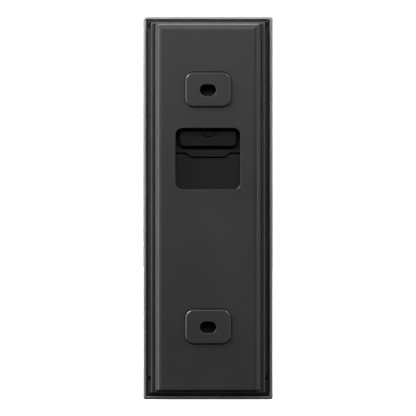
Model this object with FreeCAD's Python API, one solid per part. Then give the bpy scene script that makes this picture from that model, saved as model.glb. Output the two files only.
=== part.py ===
"""Slim battery video doorbell on its wall plate, as separate pieces.

Millimetres. +Z is up, the doorbell faces -Y and the wall is the plane y = 0. The origin is on the wall plane, midway
between the plate's two screw slots. X is 0 on the centreline.
"""

import FreeCAD
import Part

import math
import os

V = FreeCAD.Vector

# ---- driving dimensions: case -------------------------------------------------------------------------------------
WIDTH = 46.4
TOP = 68.65
BOTTOM = -68.05
REAR_EDGE = -3.95  # the shell's rear edge stands this far off the wall
FRONT_EDGE = -26.0
CASE_CORNER = 0.95
RIM = 1.2  # thickness of the shell's rear rim
WALL = 2.1  # thickness of the shell's side walls
SHOULDER = -5.8  # where the rim steps in to the side wall
FRONT_WALL = 1.5
PANEL = 1.4  # thickness of the front panel
GAP = 0.1  # usual gap between fitted pieces

HALF = WIDTH / 2
BACK = -3.7  # rear face of the rear housing
BACK_WALL = 2.05
PANEL_BACK = FRONT_EDGE + PANEL
CAVITY_FRONT = PANEL_BACK + FRONT_WALL

# ---- driving dimensions: wall plate -------------------------------------------------------------------------------
SLOT_SPACING = 84.0
SLOT_LENGTH = 5.8
SLOT_HEIGHT = 4.1
PAD_WIDTH = 16.0
PAD_HEIGHT = 12.1
PAD_RISE = 0.5
PAD_MOAT = 0.4  # width and depth of the fine groove round each pad
PAD_SHIFT = 0.2  # the pads sit a little high on their slots
PAD_CORNER = 2.9
LIP_HALF = 20.3  # half width over the plate's lip
LIP = 1.2
LIP_TOP = 66.2
LIP_BOTTOM = -65.5
LIP_FACE = -1.75
GROOVE_FACE = -2.1
BODY_HALF = 18.55  # half width of the plate's raised body
BODY_TOP = 66.05
BODY_BOTTOM = -64.5
BODY_ROUND = 2.45
PLATE_FRONT = -3.1
PLATE_SKIN = 1.3
WINDOW_WIDTH = 23.1
WINDOW_TOP = 28.65
WINDOW_BOTTOM = 6.8
WINDOW_CORNER = 2.6
WINDOW_ROUND = 0.15
SLOT_Z = (SLOT_SPACING / 2, -SLOT_SPACING / 2)

# ---- driving dimensions: rear port --------------------------------------------------------------------------------
TRENCH_HALF = 11.48
TRENCH_TOP = 29.4
TRENCH_BOTTOM = 21.1
TRENCH_CORNER = 2.3
TRENCH_FLOOR = -7.9
COVER_HALF = 10.0
COVER_TOP = 28.15
COVER_BOTTOM = 22.4
COVER_FACE = BACK - 0.05
COVER_BACK = COVER_FACE - 1.3
COVER_CORNER = 1.6
KNUCKLE = 0.9
KNUCKLE_REACH = COVER_HALF - COVER_CORNER + 0.3
HINGE_Y = COVER_FACE - KNUCKLE
HINGE_Z = COVER_BOTTOM + KNUCKLE
HINGE_PIN = 0.4
NAIL_R = 2.95
NAIL_BOTTOM = 25.35
ISLAND_FACE = -5.7
BEZEL_HALF = 14.2
BEZEL_TOP = 33.6
BEZEL_BOTTOM = 20.05
BEZEL_THICK = 1.5
BEZEL_LINE = 0.6  # open line between the bezel and the housing
TAB_TOP_HALF = 7.8
TAB_HALF = 6.0
TAB_DROP = 1.5
PORT_Z = 25.32
USB_X = 2.9
SYNC_X = -5.6

# ---- driving dimensions: front ------------------------------------------------------------------------------------
CAMERA_Z = 46.0
CAMERA_HOLE = 12.3
LAMP_SEAT = -21.6
PIR_Z = 19.0
PIR_HALF = 8.0
PIR_HEIGHT = 9.0
BUTTON_Z = -31.0
BUTTON_R = 11.8
RING_INNER = 12.0
RING_OUTER = 14.0
BUTTON_FACE = FRONT_EDGE - 0.9
SPEAKER_Z = -56.0
GRILLE_Z = (-51.8, -54.2, -56.6, -59.0, -61.4)
GRILLE_LENGTH = 15.0
GRILLE_HEIGHT = 1.1
SENSOR_Z = 61.5
MIC_X = 6.0

# ---- driving dimensions: inside -----------------------------------------------------------------------------------
BOARD_BACK = -14.5
BOARD = 1.2
BOARD_FRONT = BOARD_BACK - BOARD
BOARD_HALF = 18.4
BOARD_TOP = 63.0
BOARD_BOTTOM = -6.0
CHASSIS_BACK = -16.1
CHASSIS = 1.1
CHASSIS_FRONT = CHASSIS_BACK - CHASSIS
HOUSING_SCREWS = ((20.2, 65.3), (-20.2, 65.3), (20.2, -60.3), (-20.2, -60.3))
BOARD_SCREWS = ((15.8, 60.4), (-15.8, 60.4), (15.8, -2.6), (-15.8, -2.6))
PEGS = ((12.0, 57.5), (-12.0, 57.5))
PEG_R = 1.5
LATCH_HALF = 4.0
LATCH_Y = -7.2  # depth of the latch's nose and of the release hole
POCKET_HALF = 5.2
POCKET_TOP = -57.0
POCKET_BOTTOM = -64.0
POCKET_FLOOR = -9.2
BATTERY_TOP = -11.0
BATTERY_BOTTOM = -54.0
BATTERY_FRONT = CHASSIS_BACK + 0.05
BATTERY_BACK = -7.9


# ---- shape helpers ------------------------------------------------------------------------------------------------
def slab(half, z0, z1, y0, y1, corner=0.0, x=0.0):
    """A block between two heights and two depths, with its corners rounded as seen along Y."""
    block = Part.makeBox(2 * half, y1 - y0, z1 - z0, V(x - half, y0, z0))
    if corner:
        upright = [e for e in block.Edges if abs(e.BoundBox.YLength - (y1 - y0)) < 1e-6]
        block = block.makeFillet(corner, [e for e in upright if e.BoundBox.XLength + e.BoundBox.ZLength < 1e-6])
    return block


def disc(radius, y0, y1, x=0.0, z=0.0):
    return Part.makeCylinder(radius, y1 - y0, V(x, y0, z), V(0, 1, 0))


def ring(outer, inner, y0, y1, x=0.0, z=0.0):
    return disc(outer, y0, y1, x, z).cut(disc(inner, y0 - 1, y1 + 1, x, z))


def rod_x(radius, x0, x1, y, z):
    return Part.makeCylinder(radius, x1 - x0, V(x0, y, z), V(1, 0, 0))


def rod_z(radius, z0, z1, x, y):
    return Part.makeCylinder(radius, z1 - z0, V(x, y, z0), V(0, 0, 1))


def slot(length, height, y0, y1, x=0.0, z=0.0):
    """A round-ended bar, its length along X."""
    reach = (length - height) / 2
    body = Part.makeBox(2 * reach, y1 - y0, height, V(x - reach, y0, z - height / 2))
    ends = [disc(height / 2, y0, y1, x + side * reach, z) for side in (-1, 1)]
    return body.multiFuse(ends).removeSplitter()


def prism(outline, y0, y1):
    """Extrudes an outline of (x, z) points along Y."""
    points = [V(x, y0, z) for x, z in outline]
    return Part.Face(Part.makePolygon(points + points[:1])).extrude(V(0, y1 - y0, 0))


def side_prism(outline, half):
    """Extrudes an outline of (y, z) points to both sides along X."""
    points = [V(-half, y, z) for y, z in outline]
    return Part.Face(Part.makePolygon(points + points[:1])).extrude(V(2 * half, 0, 0))


def turned(profile, x=0.0, z=0.0):
    """Turns an outline of (radius, y) points about an axis along Y."""
    points = [V(x + r, y, z) for r, y in profile]
    face = Part.Face(Part.makePolygon(points + points[:1]))
    return face.revolve(V(x, 0, z), V(0, 1, 0), 360)


def fuse(shapes):
    return shapes[0].multiFuse(shapes[1:]).removeSplitter() if len(shapes) > 1 else shapes[0]


def cut(shape, tools):
    return shape.cut(Part.makeCompound(tools))


def group(shapes):
    return Part.makeCompound(shapes)


def at_depth(shape, y, test=lambda box: True):
    """The edges of a shape that lie in the plane at depth y and pass a test on their box."""
    found = [e for e in shape.Edges if abs(e.BoundBox.YMin - y) < 1e-4 and abs(e.BoundBox.YMax - y) < 1e-4]
    return [e for e in found if test(e.BoundBox)]


def inside(half, z0, z1):
    """A test for edges that lie within a half width and between two heights."""
    return lambda b: max(-b.XMin, b.XMax) < half and b.ZMin > z0 and b.ZMax < z1


def bent_strip(points, thickness, half, x=0.0):
    """A strip of constant thickness whose middle follows (y, z) points, as wide as 2 * half along X."""
    path = Part.makePolygon([V(x - half, y, z) for y, z in points])
    outline = path.makeOffset2D(thickness / 2, join=0, openResult=False)
    return Part.Face(outline).extrude(V(2 * half, 0, 0))


def lead(points, radius, bend):
    """A round lead along straight runs joined by tangent arcs."""
    corners = [V(*p) for p in points]
    edges = []
    start = corners[0]
    for before, corner, after in zip(corners, corners[1:], corners[2:]):
        back, ahead = (before - corner).normalize(), (after - corner).normalize()
        half_angle = back.getAngle(ahead) / 2
        reach = bend / math.tan(half_angle)
        middle = (back + ahead).normalize()
        centre = corner + middle * (bend / math.sin(half_angle))
        first, last = corner + back * reach, corner + ahead * reach
        edges.append(Part.LineSegment(start, first).toShape())
        edges.append(Part.Arc(first, centre - middle * bend, last).toShape())
        start = last
    edges.append(Part.LineSegment(start, corners[-1]).toShape())
    path = Part.Wire(edges)
    section = Part.Wire(Part.makeCircle(radius, corners[0], corners[1] - corners[0]))
    return path.makePipeShell([section], True, False)


# ---- wall plate and what is fixed to it ---------------------------------------------------------------------------
def mounting_plate():
    """Flanged tray: lip, groove, raised body with rounded long edges, two screw pads and the access window."""
    flange = slab(LIP_HALF, LIP_BOTTOM, LIP_TOP, PLATE_FRONT, LIP_FACE, 0.5)
    flange = flange.makeFillet(0.52, at_depth(flange, LIP_FACE))
    flange = flange.cut(slab(LIP_HALF - LIP, LIP_BOTTOM + 0.8, LIP_TOP - 0.8, GROOVE_FACE, 0, 0.3))
    inner = at_depth(flange, LIP_FACE, inside(LIP_HALF - LIP + 0.01, LIP_BOTTOM + 0.7, LIP_TOP - 0.7))
    flange = flange.makeFillet(0.2, inner)
    body = slab(BODY_HALF, BODY_BOTTOM, BODY_TOP, PLATE_FRONT + 0.1, -PAD_RISE)
    rounded = at_depth(body, -PAD_RISE, lambda b: b.ZLength > WIDTH or b.ZMin > BODY_TOP - 1)
    body = body.makeFillet(BODY_ROUND, rounded)
    foot = [e for e in body.Edges if e.BoundBox.ZMax < BODY_BOTTOM + 1e-4 and e.BoundBox.YMax > -PAD_RISE - 1e-4]
    body = body.makeChamfer(0.4, foot)
    slopes = [groove_slope(side) for side in (-1, 1)]
    tray = fuse([flange, body] + slopes)

    skin = -PAD_RISE - PLATE_SKIN
    hollow = slab(BODY_HALF - 2.4, BODY_BOTTOM + 2, BODY_TOP - 3, PLATE_FRONT - 1, skin, 1.0)
    frame = slab(WINDOW_WIDTH / 2 + 2.0, WINDOW_BOTTOM - 2.0, WINDOW_TOP + 2.0, PLATE_FRONT, skin, 3.6)
    head_walls = [slab(7.4, z - 6.4, z + 6.4, PLATE_FRONT, skin, 2.0) for z in SLOT_Z]
    latch_seat = slab(6.0, -60.6, -50.2, PLATE_FRONT + 0.8, skin, 0.6)
    ribs = [slab(0.5, BODY_BOTTOM + 1, BODY_TOP - 1, PLATE_FRONT + 0.5, skin, 0, x) for x in (-10.5, 10.5)]
    ribs += [slab(BODY_HALF - 1, z - 0.5, z + 0.5, PLATE_FRONT + 0.5, skin) for z in (-47, -32, -20, -8, 33, 51)]
    ribs = [r.common(hollow) for r in ribs]
    pegs = [peg(x, z, skin) for x, z in PEGS]
    tray = fuse([tray.cut(hollow), frame, latch_seat] + head_walls + ribs)

    pads = []
    for z in SLOT_Z:
        low, grow = z + PAD_SHIFT - PAD_HEIGHT / 2, PAD_MOAT
        pad = slab(PAD_WIDTH / 2, low, low + PAD_HEIGHT, skin, 0, PAD_CORNER)
        moat = slab(PAD_WIDTH / 2 + grow, low - grow, low + PAD_HEIGHT + grow, -PAD_RISE - grow, 1, PAD_CORNER + grow)
        tray = tray.cut(moat)
        pads.append(pad.makeChamfer(0.34, at_depth(pad, 0)))
    tray = fuse([tray] + pads + pegs)
    window = slab(WINDOW_WIDTH / 2, WINDOW_BOTTOM, WINDOW_TOP, PLATE_FRONT - 1, 1, WINDOW_CORNER)
    slots = [slot(SLOT_LENGTH, SLOT_HEIGHT, PLATE_FRONT - 1, 1, 0, z) for z in SLOT_Z]
    heads = [slot(9.6, 8.0, PLATE_FRONT - 1, skin, 0, z) for z in SLOT_Z]
    screw = disc(0.8, PLATE_FRONT - 1, skin + 0.6, 0, -53.4)
    tray = cut(tray, [window, screw] + slots + heads)
    rims = at_depth(tray, -PAD_RISE, inside(WINDOW_WIDTH / 2 + 0.1, WINDOW_BOTTOM - 0.1, WINDOW_TOP + 0.1))
    tray = tray.makeFillet(WINDOW_ROUND, rims)
    mouths = [e for z in SLOT_Z for e in at_depth(tray, 0, inside(SLOT_LENGTH / 2 + 0.2, z - 2.3, z + 2.3))]
    return tray.makeFillet(0.18, mouths)


def groove_slope(side):
    """The floor of one long groove. It rises from the lip's foot to the body."""
    foot = LIP_HALF - LIP
    outline = [(foot, GROOVE_FACE), (18.1, -1.4), (17.6, GROOVE_FACE - 0.2), (foot, GROOVE_FACE - 0.2)]
    points = [V(side * x, y, BODY_BOTTOM) for x, y in outline]
    return Part.Face(Part.makePolygon(points + points[:1])).extrude(V(0, 0, BODY_TOP - 0.6 - BODY_BOTTOM))


def peg(x, z, root):
    """A locating peg with a chamfered tip."""
    tip = BACK - 3.0
    return turned([(0, tip), (PEG_R - 0.5, tip), (PEG_R, tip + 0.5), (PEG_R, root), (0, root)], x, z)


def window_gasket():
    """Foam ring that seals the window against the doorbell's back."""
    outer = slab(13.2, WINDOW_BOTTOM - 1.6, WINDOW_TOP + 1.6, BACK + 0.05, PLATE_FRONT, 3.4)
    return outer.cut(slab(12.2, WINDOW_BOTTOM - 0.6, WINDOW_TOP + 0.6, BACK - 1, 0, 2.9))


def latch_spring():
    """Steel leaf: a foot on the plate, then a U whose outer leg carries the nose that holds the doorbell."""
    foot_y = PLATE_FRONT + 0.8 - 0.25
    leaf = [(foot_y, -50.8), (foot_y, -58.6), (-7.7, -58.6), (-8.6, -59.4), (-8.6, -62.2), (-8.0, -63.1)]
    nose = [(-7.8, -63.4), (LATCH_Y, -64.35), (-6.5, -63.3), (-4.6, -63.1)]
    strip = bent_strip(leaf + nose, 0.4, LATCH_HALF)
    return strip.cut(disc(0.95, PLATE_FRONT - 1, 0, 0, -53.4))


def pan_screw(x, z, seat, tip, head_r, head, shank_r, towards=1):
    """Pan-head screw along Y with a cross recess. Its head stands on the side that towards points to."""
    top = seat + towards * head
    low, high = min(top, seat), max(top, seat)
    body = fuse([disc(head_r, low, high, x, z), disc(shank_r, min(tip, seat), max(tip, seat), x, z)])
    rim = [e for e in at_depth(body, top)]
    body = body.makeFillet(head * 0.35, rim)
    arm, depth = head_r * 0.62, head * 0.5
    y0, y1 = (top - depth, top + 1) if towards > 0 else (top - 1, top + depth)
    cross = [slab(arm, z - 0.16, z + 0.16, y0, y1, 0, x), slab(0.16, z - arm, z + arm, y0, y1, 0, x)]
    return cut(body, cross)


def latch_screw():
    seat = PLATE_FRONT + 0.8 - 0.45
    return pan_screw(0, -53.4, seat, 0.5 - PAD_RISE - PLATE_SKIN, 1.5, 0.8, 0.78, -1)


# ---- case ---------------------------------------------------------------------------------------------------------
def screw_boss(x, z):
    return disc(2.3, SHOULDER - 8, SHOULDER, x, z)


def seal_ring(y0, y1, grow=0.0):
    outer = slab(21.8 + grow, BOTTOM + 1.4 - grow, TOP - 1.4 + grow, y0, y1, 0.8)
    return outer.cut(slab(21.25 - grow, BOTTOM + 1.95 + grow, TOP - 1.95 - grow, y0 - 1, y1 + 1, 0.5))


def outer_shell():
    """One-piece frame: thin rear rim, side walls, front wall with its openings and the recess for the panel."""
    case = slab(HALF, BOTTOM, TOP, FRONT_EDGE, REAR_EDGE, CASE_CORNER)
    case = case.makeFillet(0.8, at_depth(case, REAR_EDGE))
    case = case.makeFillet(0.7, at_depth(case, FRONT_EDGE))
    rear = slab(HALF - RIM, BOTTOM + RIM, TOP - RIM + 0.1, SHOULDER, 1, 0.3)
    cavity = slab(HALF - WALL, BOTTOM + WALL, TOP - WALL, CAVITY_FRONT, SHOULDER + 0.5, 1.0)
    recess = slab(HALF - 1.0, BOTTOM + 1.0, TOP - 1.0, FRONT_EDGE - 1, PANEL_BACK, 0.6)
    shell = cut(case, [rear, cavity, recess])
    shell = shell.makeFillet(0.1, at_depth(shell, REAR_EDGE, inside(HALF - RIM + 0.01, BOTTOM + 0.9, TOP - 0.8)))
    bosses = [screw_boss(x, z).common(slab(HALF - 1, BOTTOM + 1, TOP - 1, -30, 0)) for x, z in HOUSING_SCREWS]
    posts = [disc(1.9, CAVITY_FRONT - 0.5, CHASSIS_FRONT, x, z) for x, z in chassis_points()]
    shell = fuse([shell] + bosses + posts)
    threads = [disc(0.57, SHOULDER - 6.5, SHOULDER + 1, x, z) for x, z in HOUSING_SCREWS]
    threads += [disc(0.62, CHASSIS_FRONT - 4, CHASSIS_FRONT + 1, x, z) for x, z in chassis_points()]
    return cut(shell, threads + front_openings(0.0) + [seal_ring(SHOULDER - 0.4, SHOULDER + 0.1), release_hole()])


def chassis_points():
    return [(side * 18.5, z) for side in (-1, 1) for z in (31.0, -12.0, -46.0)]


def release_hole():
    """Hole in the bottom edge for the pin that presses the latch in."""
    return rod_z(0.9, BOTTOM - 1, POCKET_BOTTOM + 0.1, 0, LATCH_Y)


def front_openings(grow):
    """What the front wall and the panel are both open for: camera, motion lens, button, speaker and sensors."""
    y0, y1 = FRONT_EDGE - 3, CAVITY_FRONT + 1
    openings = [
        disc(CAMERA_HOLE + grow, y0, y1, 0, CAMERA_Z),
        slab(PIR_HALF + grow, PIR_Z - PIR_HEIGHT / 2 - grow, PIR_Z + PIR_HEIGHT / 2 + grow, y0, y1, 2.5),
        disc(RING_OUTER + grow + 0.1, y0, y1, 0, BUTTON_Z),
        disc(1.1 + grow, y0, y1, 0, SENSOR_Z),
        disc(0.5 + grow, y0, y1, MIC_X, SENSOR_Z),
    ]
    return openings + [slot(GRILLE_LENGTH, GRILLE_HEIGHT, y0, y1, 0, z) for z in GRILLE_Z]


def front_panel():
    """Gloss panel set into the frame, with softened outer edge and openings."""
    edge = 1.0 + GAP
    panel = slab(HALF - edge, BOTTOM + edge, TOP - edge, FRONT_EDGE - 0.15, PANEL_BACK, 0.6)
    panel = panel.makeFillet(0.35, at_depth(panel, FRONT_EDGE - 0.15))
    panel = cut(panel, front_openings(0.0))
    holes = at_depth(panel, FRONT_EDGE - 0.15, inside(16, BOTTOM + 3, TOP - 3))
    return panel.makeFillet(0.12, holes)


def rear_housing():
    """Back wall and skirt, with sockets for the plate's pegs, the latch pocket and the seat for the port bezel."""
    wall = slab(HALF - RIM - GAP, BOTTOM + RIM + GAP, TOP - RIM, BACK - BACK_WALL, BACK, 0.25)
    wall = wall.common(sloped_edges())
    skirt = slab(HALF - WALL - GAP, BOTTOM + WALL + GAP, TOP - WALL - GAP, BACK - 7, BACK - 1, 0.9)
    skirt = skirt.cut(slab(HALF - WALL - 1.5, BOTTOM + WALL + 1.5, TOP - WALL - 1.5, BACK - 9, BACK, 0.5))
    skirt = cut(skirt, [disc(2.4, BACK - 9, SHOULDER + 0.04, x, z) for x, z in HOUSING_SCREWS])
    swells = [slot(13.4, 11.8, BACK - 3.2, BACK - 1, 0, z) for z in SLOT_Z]
    swells += [disc(2.9, BACK - 4.6, BACK - 1, x, z) for x, z in PEGS]
    swells.append(slab(POCKET_HALF + 1.2, POCKET_BOTTOM - 1.2, POCKET_TOP + 1.2, POCKET_FLOOR - 1.2, BACK - 1, 1.0))
    housing = fuse([wall, skirt] + swells)

    counterbores = [disc(1.12, BACK - 1.2, BACK + 1, x, z) for x, z in HOUSING_SCREWS]
    shanks = [disc(0.7, BACK - 4, BACK + 1, x, z) for x, z in HOUSING_SCREWS]
    dimples = [slot(10.6, 9.0, BACK - 2.0, BACK + 1, 0, z) for z in SLOT_Z]
    sockets = [disc(PEG_R + 0.15, BACK - 3.4, BACK + 1, x, z) for x, z in PEGS]
    pocket = slab(POCKET_HALF, POCKET_BOTTOM, POCKET_TOP, POCKET_FLOOR, BACK + 1, 0.5)
    catch = slab(LATCH_HALF + 0.6, POCKET_BOTTOM - 0.8, POCKET_BOTTOM + 0.5, POCKET_FLOOR + 1.0, BACK - 2.3)
    seat = prism(bezel_outline(BEZEL_LINE), BACK - BEZEL_THICK, BACK + 1)
    well = slab(TRENCH_HALF + 1.2, TRENCH_BOTTOM - 1.2, TRENCH_TOP + 1.2, BACK - 9, BACK + 1, 2.4)
    bezel_posts = [disc(0.9, BACK - 5, BACK, x, z) for x, z in bezel_snaps()]
    tools = counterbores + shanks + dimples + sockets + [pocket, catch, seat, well, release_hole()] + bezel_posts
    return cut(housing, tools)


def sloped_edges():
    """A blunt block whose rear edges fall away gently on all four sides."""
    half, top, low = HALF - RIM, TOP - RIM + 0.1, BOTTOM + RIM
    run, fall = 1.5, 0.6
    wires = []
    for inset, y in ((-2.0, BACK - fall - 2.0 * fall / run), (run, BACK)):
        x, upper, lower = half - inset, top - inset, low + inset
        corners = [(x, upper), (x, lower), (-x, lower), (-x, upper)]
        points = [V(across, y, up) for across, up in corners]
        wires.append(Part.makePolygon(points + points[:1]))
    pyramid = Part.makeLoft(wires, True, True)
    block = Part.makeBox(2 * half + 4, 4, top - low + 4, V(-half - 2, BACK - fall - 2.0 * fall / run - 4, low - 2))
    return fuse([pyramid, block])


def bezel_outline(grow):
    """The port bezel's outline: a plain rectangle with a tapered tab on its lower edge."""
    half, top, low = BEZEL_HALF + grow / 2, BEZEL_TOP + grow / 2, BEZEL_BOTTOM - grow
    tab = low - TAB_DROP
    right = [(half, top), (half, low), (TAB_TOP_HALF + grow / 2, low), (TAB_HALF + grow / 2, tab)]
    return right + [(-x, z) for x, z in reversed(right)]


def bezel_snaps():
    return ((13.2, 31.9), (-13.2, 31.9))


def service_bezel():
    """Cover round the rear port: a plate with the trench, and the raised island that the port opens in."""
    plate = prism(bezel_outline(0.0), BACK - BEZEL_THICK, BACK)
    plate = plate.makeFillet(0.12, at_depth(plate, BACK))
    cup = slab(TRENCH_HALF + 1, TRENCH_BOTTOM - 1, TRENCH_TOP + 1, TRENCH_FLOOR - 1, BACK - 0.5, 2.2)
    trench = slab(TRENCH_HALF, TRENCH_BOTTOM, TRENCH_TOP, TRENCH_FLOOR, BACK + 1, TRENCH_CORNER)
    island = slab(COVER_HALF - 0.3, COVER_BOTTOM + 0.3, COVER_TOP - 0.15, TRENCH_FLOOR - 0.5, ISLAND_FACE, 1.0)
    island = island.cut(rod_x(KNUCKLE + 0.42, -COVER_HALF, COVER_HALF, HINGE_Y, HINGE_Z))
    port = slab(8.6, 23.45, 27.2, TRENCH_FLOOR, BACK, 0.8)
    bezel = fuse([fuse([plate, cup]).cut(trench), island])
    usb = slot(9.3, 3.6, -14, BACK, USB_X, PORT_Z)
    sync = disc(1.25, -14, BACK, SYNC_X, PORT_Z)
    posts = [disc(0.85, BACK - 3.2, BACK - 1, x, z) for x, z in bezel_snaps()]
    return fuse([cut(bezel, [port, usb, sync])] + posts)


def housing_seal():
    return seal_ring(SHOULDER - 0.4, SHOULDER + 0.05)


def housing_screws():
    return group([pan_screw(x, z, BACK - 1.2, SHOULDER - 5.5, 0.85, 0.75, 0.55) for x, z in HOUSING_SCREWS])


# ---- rear port ----------------------------------------------------------------------------------------------------
def port_cover():
    """Flap over the port, hinged along its lower edge, with a thumbnail mark at the top."""
    flap = slab(COVER_HALF, COVER_BOTTOM, COVER_TOP, COVER_BACK, COVER_FACE, COVER_CORNER)
    flap = flap.makeFillet(0.15, at_depth(flap, COVER_FACE))
    flap = fuse([flap, rod_x(KNUCKLE, -KNUCKLE_REACH, KNUCKLE_REACH, HINGE_Y, HINGE_Z)])
    nail_z = NAIL_BOTTOM + NAIL_R
    nail = ring(NAIL_R, NAIL_R - 0.5, COVER_FACE - 0.8, COVER_FACE + 1, 0, nail_z)
    dip = disc(NAIL_R - 0.2, COVER_FACE - 0.1, COVER_FACE + 1, 0, nail_z)
    bore = rod_x(HINGE_PIN + 0.01, -COVER_HALF - 1, COVER_HALF + 1, HINGE_Y, HINGE_Z)
    return cut(flap, [nail, dip, bore])


def port_cover_seal():
    """Soft lip moulded on the back of the flap."""
    pad = slab(9.0, 24.35, 27.8, ISLAND_FACE + 0.05, COVER_BACK, 1.0)
    return pad.cut(slab(7.9, 24.95, 27.2, ISLAND_FACE - 1, COVER_BACK - 0.3, 0.6))


def port_hinge_pin():
    """Steel core along the flap's knuckle."""
    return rod_x(HINGE_PIN, -KNUCKLE_REACH, KNUCKLE_REACH, HINGE_Y, HINGE_Z)


def usb_shell():
    outer = slot(8.94, 3.2, BOARD_BACK, BACK - 2.5, USB_X, PORT_Z)
    return outer.cut(slot(8.34, 2.6, BOARD_BACK + 0.8, 0, USB_X, PORT_Z))


def usb_tongue():
    return slab(3.3, PORT_Z - 0.35, PORT_Z + 0.35, BOARD_BACK + 0.8, BACK - 3.4, 0.2, USB_X)


def sync_button():
    """Small plunger behind the flap, flanged so that it can't fall out."""
    stem = disc(1.15, -11.6, BACK - 2.7, SYNC_X, PORT_Z)
    stem = stem.makeFillet(0.25, at_depth(stem, BACK - 2.7))
    return fuse([stem, disc(1.8, -10.8, TRENCH_FLOOR - 1.1, SYNC_X, PORT_Z)])


def sync_switch():
    body = slab(2.0, PORT_Z - 2.0, PORT_Z + 2.0, BOARD_BACK, -12.6, 0.3, SYNC_X)
    return fuse([body, disc(0.9, -12.7, -12.0, SYNC_X, PORT_Z)])


# ---- camera -------------------------------------------------------------------------------------------------------
def camera_ring():
    """Turned trim round the camera window, with a flange behind the front wall's face."""
    face = FRONT_EDGE - 0.75
    outline = [(10.5, PANEL_BACK - 0.1), (10.5, face + 0.55), (10.95, face), (11.5, face), (12.15, face + 0.6)]
    outline += [(12.15, CAVITY_FRONT), (9.7, CAVITY_FRONT), (9.7, PANEL_BACK - 0.1)]
    return turned(outline, 0, CAMERA_Z)


def bulged(radius, rim_y, bulge):
    """Half section of a spherical face, from the axis to its rim. It stands proud by the bulge, towards the front."""
    curve = (radius ** 2 + bulge ** 2) / (2 * bulge)
    middle = rim_y - bulge + curve - math.copysign(math.sqrt(curve ** 2 - radius ** 2 / 4), bulge)
    return Part.Arc(V(0, rim_y - bulge, 0), V(radius / 2, middle, 0), V(radius, rim_y, 0)).toShape()


def spun_glass(edges):
    """Turns a half section about the camera's axis."""
    glass = Part.Face(Part.Wire(Part.__sortEdges__(edges))).revolve(V(0, 0, 0), V(0, 1, 0), 360)
    glass.translate(V(0, 0, CAMERA_Z))
    return glass


def camera_window():
    """Domed dark window over the lens and the infrared lamps."""
    edge, crown, back = FRONT_EDGE - 0.1, FRONT_EDGE - 0.65, PANEL_BACK - 0.1
    radius = 10.4
    lines = [V(radius, edge, 0), V(radius, back, 0), V(0, back, 0), V(0, crown, 0)]
    sides = [Part.LineSegment(a, b).toShape() for a, b in zip(lines, lines[1:])]
    return spun_glass([bulged(radius, edge, edge - crown)] + sides)


def window_seal():
    return ring(9.65, 8.7, PANEL_BACK - 0.1, PANEL_BACK + 0.9, 0, CAMERA_Z)


def lens_hood():
    """Black cone that keeps the infrared lamps' light out of the lens."""
    outline = [(6.2, -20.2), (7.2, -24.6), (7.7, -24.6), (6.9, -20.2)]
    return turned(outline, 0, CAMERA_Z)


def lens_barrel():
    outline = [(5.0, -23.9), (5.7, -23.9), (5.7, -22.2), (5.2, -22.0), (5.2, -17.4), (3.2, -17.4), (3.2, -18.4)]
    outline += [(3.6, -18.4), (3.6, -20.4), (4.2, -20.4), (4.2, -22.6), (4.6, -22.6)]
    return turned(outline, 0, CAMERA_Z)


def lens(radius, front_y, back_y, front_bulge, back_bulge):
    """A lens between two spherical faces."""
    rim = Part.LineSegment(V(radius, front_y, 0), V(radius, back_y, 0))
    axis = Part.LineSegment(V(0, back_y - back_bulge, 0), V(0, front_y - front_bulge, 0))
    faces = [bulged(radius, front_y, front_bulge), bulged(radius, back_y, back_bulge)]
    return spun_glass(faces + [rim.toShape(), axis.toShape()])


def lens_front():
    return lens(4.55, -23.6, -22.65, 1.0, 1.5)


def lens_middle():
    return lens(4.1, -21.6, -20.6, 0.5, -0.25)


def lens_rear():
    return lens(3.5, -19.6, -18.5, 0.6, -0.3)


def lens_holder():
    base = slab(7.0, CAMERA_Z - 7.0, CAMERA_Z + 7.0, -18.6, BOARD_FRONT, 1.0)
    tower = fuse([base, disc(6.2, -20.9, -18.0, 0, CAMERA_Z)])
    chamber = slab(4.6, CAMERA_Z - 4.6, CAMERA_Z + 4.6, -17.3, BOARD_FRONT + 1)
    return cut(tower, [disc(5.25, -22, -16.5, 0, CAMERA_Z), chamber])


def image_sensor():
    return slab(3.6, CAMERA_Z - 3.2, CAMERA_Z + 3.2, BOARD_FRONT - 0.8, BOARD_FRONT)


def infrared_filter():
    return slab(4.5, CAMERA_Z - 4.5, CAMERA_Z + 4.5, -17.2, -16.9, 0.2)


def lamp_points(count, radius, z):
    turns = [2 * math.pi * (k + 0.5) / count for k in range(count)]
    return [(radius * math.cos(a), z + radius * math.sin(a)) for a in turns]


def lamp_board():
    return ring(10.6, 7.9, LAMP_SEAT, LAMP_SEAT + 0.8, 0, CAMERA_Z)


def infrared_lamps():
    """Six domed lamps round the lens."""
    lamps = []
    for x, z in lamp_points(6, 9.25, CAMERA_Z):
        base = slab(1.0, z - 1.0, z + 1.0, LAMP_SEAT - 0.7, LAMP_SEAT, 0.2, x)
        dome = Part.makeSphere(0.65, V(x, LAMP_SEAT - 0.7, z))
        lamps.append(fuse([base, dome]))
    return group(lamps)


# ---- motion sensor, light sensor and microphone -------------------------------------------------------------------
def motion_lens():
    """Faceted window in front of the motion sensor."""
    half, height = PIR_HALF - 0.08, PIR_HEIGHT / 2 - 0.08
    face = slab(half, PIR_Z - height, PIR_Z + height, FRONT_EDGE - 0.5, PANEL_BACK, 2.4)
    face = face.makeFillet(0.4, at_depth(face, FRONT_EDGE - 0.5))
    lip = slab(half + 1.2, PIR_Z - height - 1.2, PIR_Z + height + 1.2, CAVITY_FRONT + 0.05, CAVITY_FRONT + 0.9, 2.8)
    web = slab(half, PIR_Z - height, PIR_Z + height, PANEL_BACK - 0.2, CAVITY_FRONT + 0.9, 2.4)
    hollow = slab(half - 0.9, PIR_Z - height + 0.9, PIR_Z + height - 0.9, FRONT_EDGE + 0.5, CAVITY_FRONT + 2, 1.6)
    return fuse([face, lip, web]).cut(hollow)


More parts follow.
